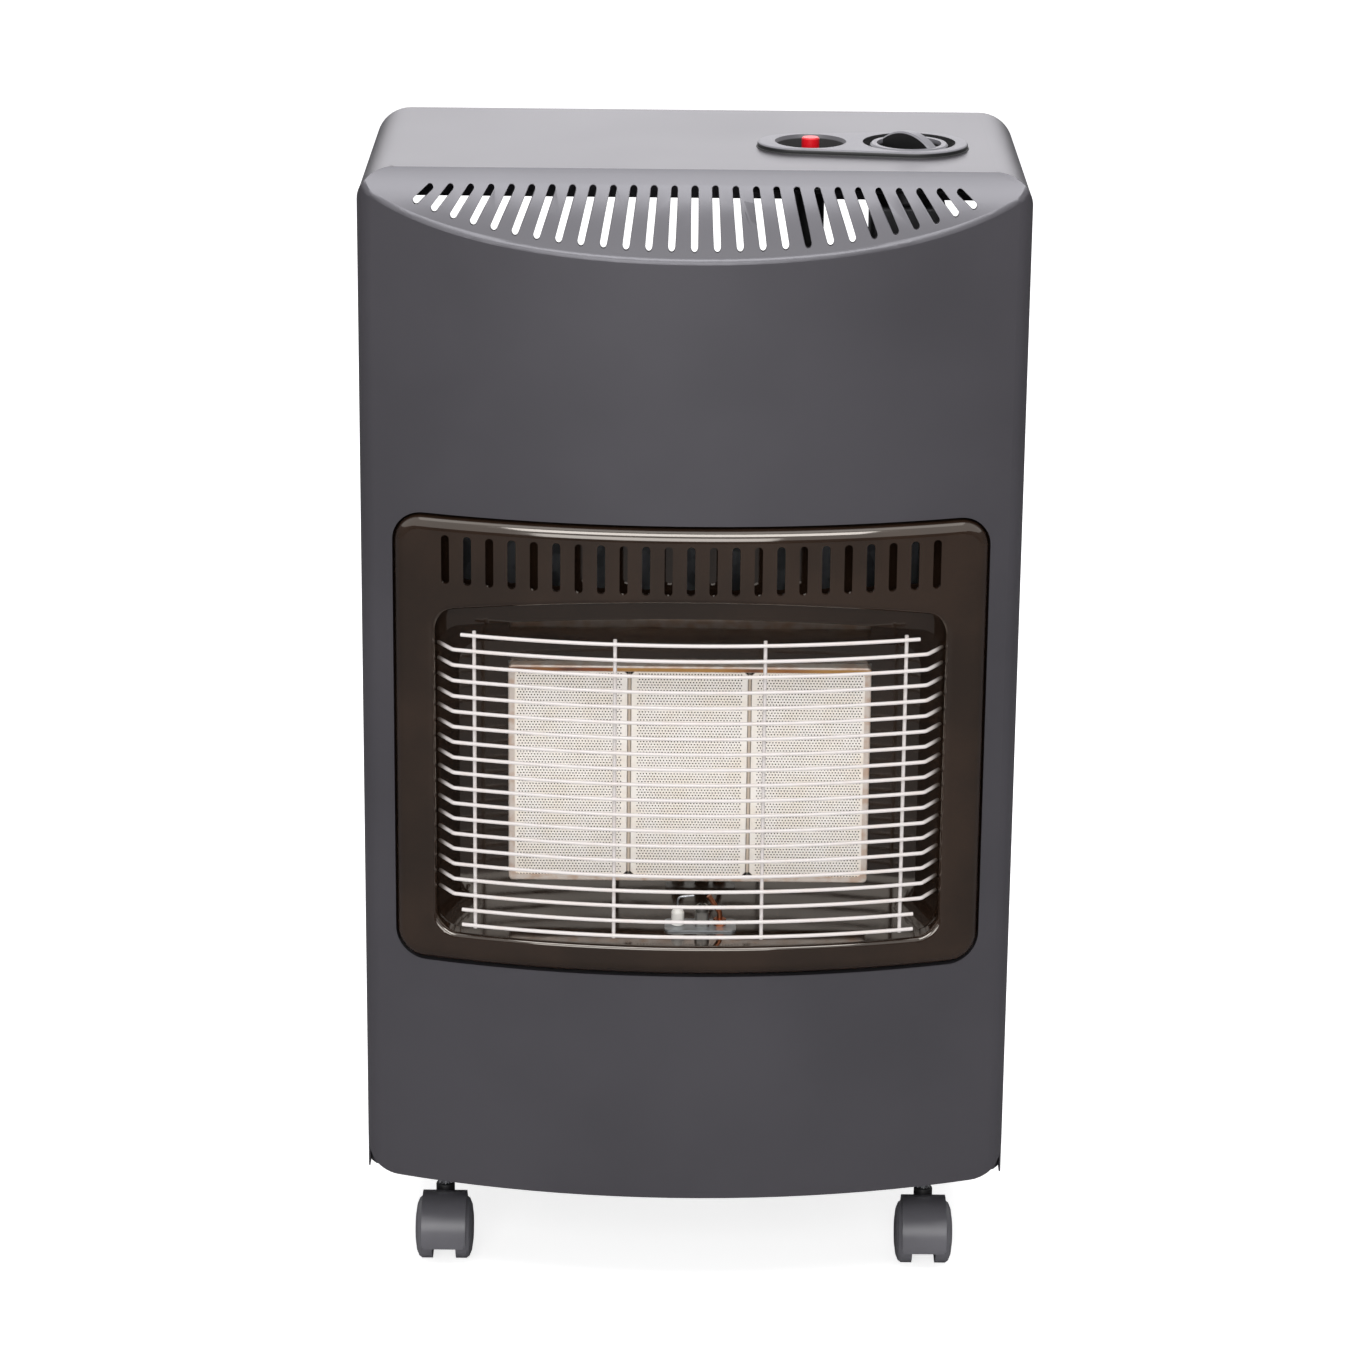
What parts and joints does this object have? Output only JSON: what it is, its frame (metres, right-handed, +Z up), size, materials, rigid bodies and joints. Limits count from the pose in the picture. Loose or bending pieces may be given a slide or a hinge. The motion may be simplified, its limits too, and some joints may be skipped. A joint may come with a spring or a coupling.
{
  "type": "portable gas cabinet heater",
  "caption": "Narrow gas cabinet heater on castors: bowed front with a vented shoulder, ceramic burner behind a wire guard, top controls and an open rear bottle bay.",
  "frame": {"origin": "on the floor under the middle of the overall box", "axes": "+Z up, front (wire guard) faces -Y, +X to the right seen from the front, on the controls' side"},
  "size_m": [0.4, 0.3882, 0.728],
  "materials": {
    "body_paint": "satin grey paint",
    "enamel": "gloss dark brown vitreous enamel",
    "guard_wire": "cream plated wire",
    "reflector": "gloss dark brown vitreous enamel, like the surround",
    "plaque": "matt perforated",
    "burner_steel": "stainless, heat tinted",
    "bare_steel": "plain pressed",
    "galvanised": "galvanised",
    "brass": "turned",
    "alloy": "die cast",
    "pipe_alloy": "drawn tube",
    "probe_copper": "copper, drawn",
    "insulator": "glazed",
    "lead_sleeve": "silicone sleeve",
    "bezel_plastic": "satin grey",
    "knob_plastic": "satin grey",
    "button_plastic": "red",
    "black_plastic": "black",
    "castor_plastic": "grey",
    "pin_steel": "plated"
  },
  "bodies": {
    "cabinet": {"cabinet_shell": "body_paint", "front_panel": "body_paint", "base_tray": "body_paint", "hoop_ears": "body_paint", "burner_surround": "enamel", "wire_guard": "guard_wire", "reflector_box": "reflector", "ceramic_plaque_left": "plaque", "ceramic_plaque_centre": "plaque", "ceramic_plaque_right": "plaque", "burner_rim": "burner_steel", "burner_plenum": "bare_steel", "mixing_tubes": "bare_steel", "manifold_hangers": "galvanised", "gas_manifold": "bare_steel", "injectors": "brass", "pilot_bracket": "galvanised", "pilot_burner": "bare_steel", "electrode_insulator": "insulator", "spark_electrode": "pin_steel", "thermocouple": "probe_copper", "gas_valve": "alloy", "valve_bracket": "galvanised", "mounting_nuts": "pin_steel", "igniter_body": "black_plastic", "control_bezel": "bezel_plastic", "hose_nozzle": "brass", "supply_pipe_left": "pipe_alloy", "supply_pipe_centre": "pipe_alloy", "supply_pipe_right": "pipe_alloy", "pilot_pipe": "pipe_alloy", "thermocouple_lead": "probe_copper", "ignition_lead": "lead_sleeve", "heat_shield": "galvanised", "castor_sockets": "black_plastic", "ear_screws": "pin_steel"},
    "valve_push": {"valve_plunger": "brass"},
    "knob": {"control_knob": "knob_plastic", "valve_spindle": "brass"},
    "button": {"igniter_button": "button_plastic"},
    "hoop": {"bottle_hoop": "body_paint"},
    "castor_front_left": {"castor_hood_front_left": "castor_plastic", "castor_collar_front_left": "black_plastic", "castor_pins_front_left": "pin_steel"},
    "wheels_front_left": {"castor_wheels_front_left": "castor_plastic"},
    "castor_front_right": {"castor_hood_front_right": "castor_plastic", "castor_collar_front_right": "black_plastic", "castor_pins_front_right": "pin_steel"},
    "wheels_front_right": {"castor_wheels_front_right": "castor_plastic"},
    "castor_rear_left": {"castor_hood_rear_left": "castor_plastic", "castor_collar_rear_left": "black_plastic", "castor_pins_rear_left": "pin_steel"},
    "wheels_rear_left": {"castor_wheels_rear_left": "castor_plastic"},
    "castor_rear_right": {"castor_hood_rear_right": "castor_plastic", "castor_collar_rear_right": "black_plastic", "castor_pins_rear_right": "pin_steel"},
    "wheels_rear_right": {"castor_wheels_rear_right": "castor_plastic"}
  },
  "joints": [
    {"name": "knob_push", "type": "slide", "parent": "cabinet", "child": "valve_push", "axis": [0, 0, -1], "range_m": [0, 0.004], "stiffness_N_per_m": 800, "springref_m": -0.002},
    {"name": "knob_turn", "type": "hinge", "parent": "valve_push", "child": "knob", "pos_m": [0.129, -0.07093, 0.7], "axis": [0, 0, 1], "range_deg": [0, 210]},
    {"name": "button_press", "type": "slide", "parent": "cabinet", "child": "button", "axis": [0, 0, -1], "range_m": [0, 0.006], "stiffness_N_per_m": 400, "springref_m": -0.002},
    {"name": "hoop_lift", "type": "hinge", "parent": "cabinet", "child": "hoop", "pos_m": [0, 0.05507, 0.3], "axis": [1, 0, 0], "range_deg": [0, 92]},
    {"name": "swivel_front_left", "type": "hinge", "parent": "cabinet", "child": "castor_front_left", "pos_m": [-0.1537, -0.09692, 0.06], "axis": [0, 0, 1], "continuous": true},
    {"name": "spin_front_left", "type": "hinge", "parent": "castor_front_left", "child": "wheels_front_left", "pos_m": [-0.1537, -0.10892, 0.02], "axis": [1, 0, 0], "continuous": true},
    {"name": "swivel_front_right", "type": "hinge", "parent": "cabinet", "child": "castor_front_right", "pos_m": [0.1537, -0.09692, 0.06], "axis": [0, 0, 1], "continuous": true},
    {"name": "spin_front_right", "type": "hinge", "parent": "castor_front_right", "child": "wheels_front_right", "pos_m": [0.1537, -0.10892, 0.02], "axis": [1, 0, 0], "continuous": true},
    {"name": "swivel_rear_left", "type": "hinge", "parent": "cabinet", "child": "castor_rear_left", "pos_m": [-0.1537, 0.15207, 0.06], "axis": [0, 0, 1], "continuous": true},
    {"name": "spin_rear_left", "type": "hinge", "parent": "castor_rear_left", "child": "wheels_rear_left", "pos_m": [-0.1537, 0.14008, 0.02], "axis": [1, 0, 0], "continuous": true},
    {"name": "swivel_rear_right", "type": "hinge", "parent": "cabinet", "child": "castor_rear_right", "pos_m": [0.1537, 0.15207, 0.06], "axis": [0, 0, 1], "continuous": true},
    {"name": "spin_rear_right", "type": "hinge", "parent": "castor_rear_right", "child": "wheels_rear_right", "pos_m": [0.1537, 0.14008, 0.02], "axis": [1, 0, 0], "continuous": true}
  ]
}
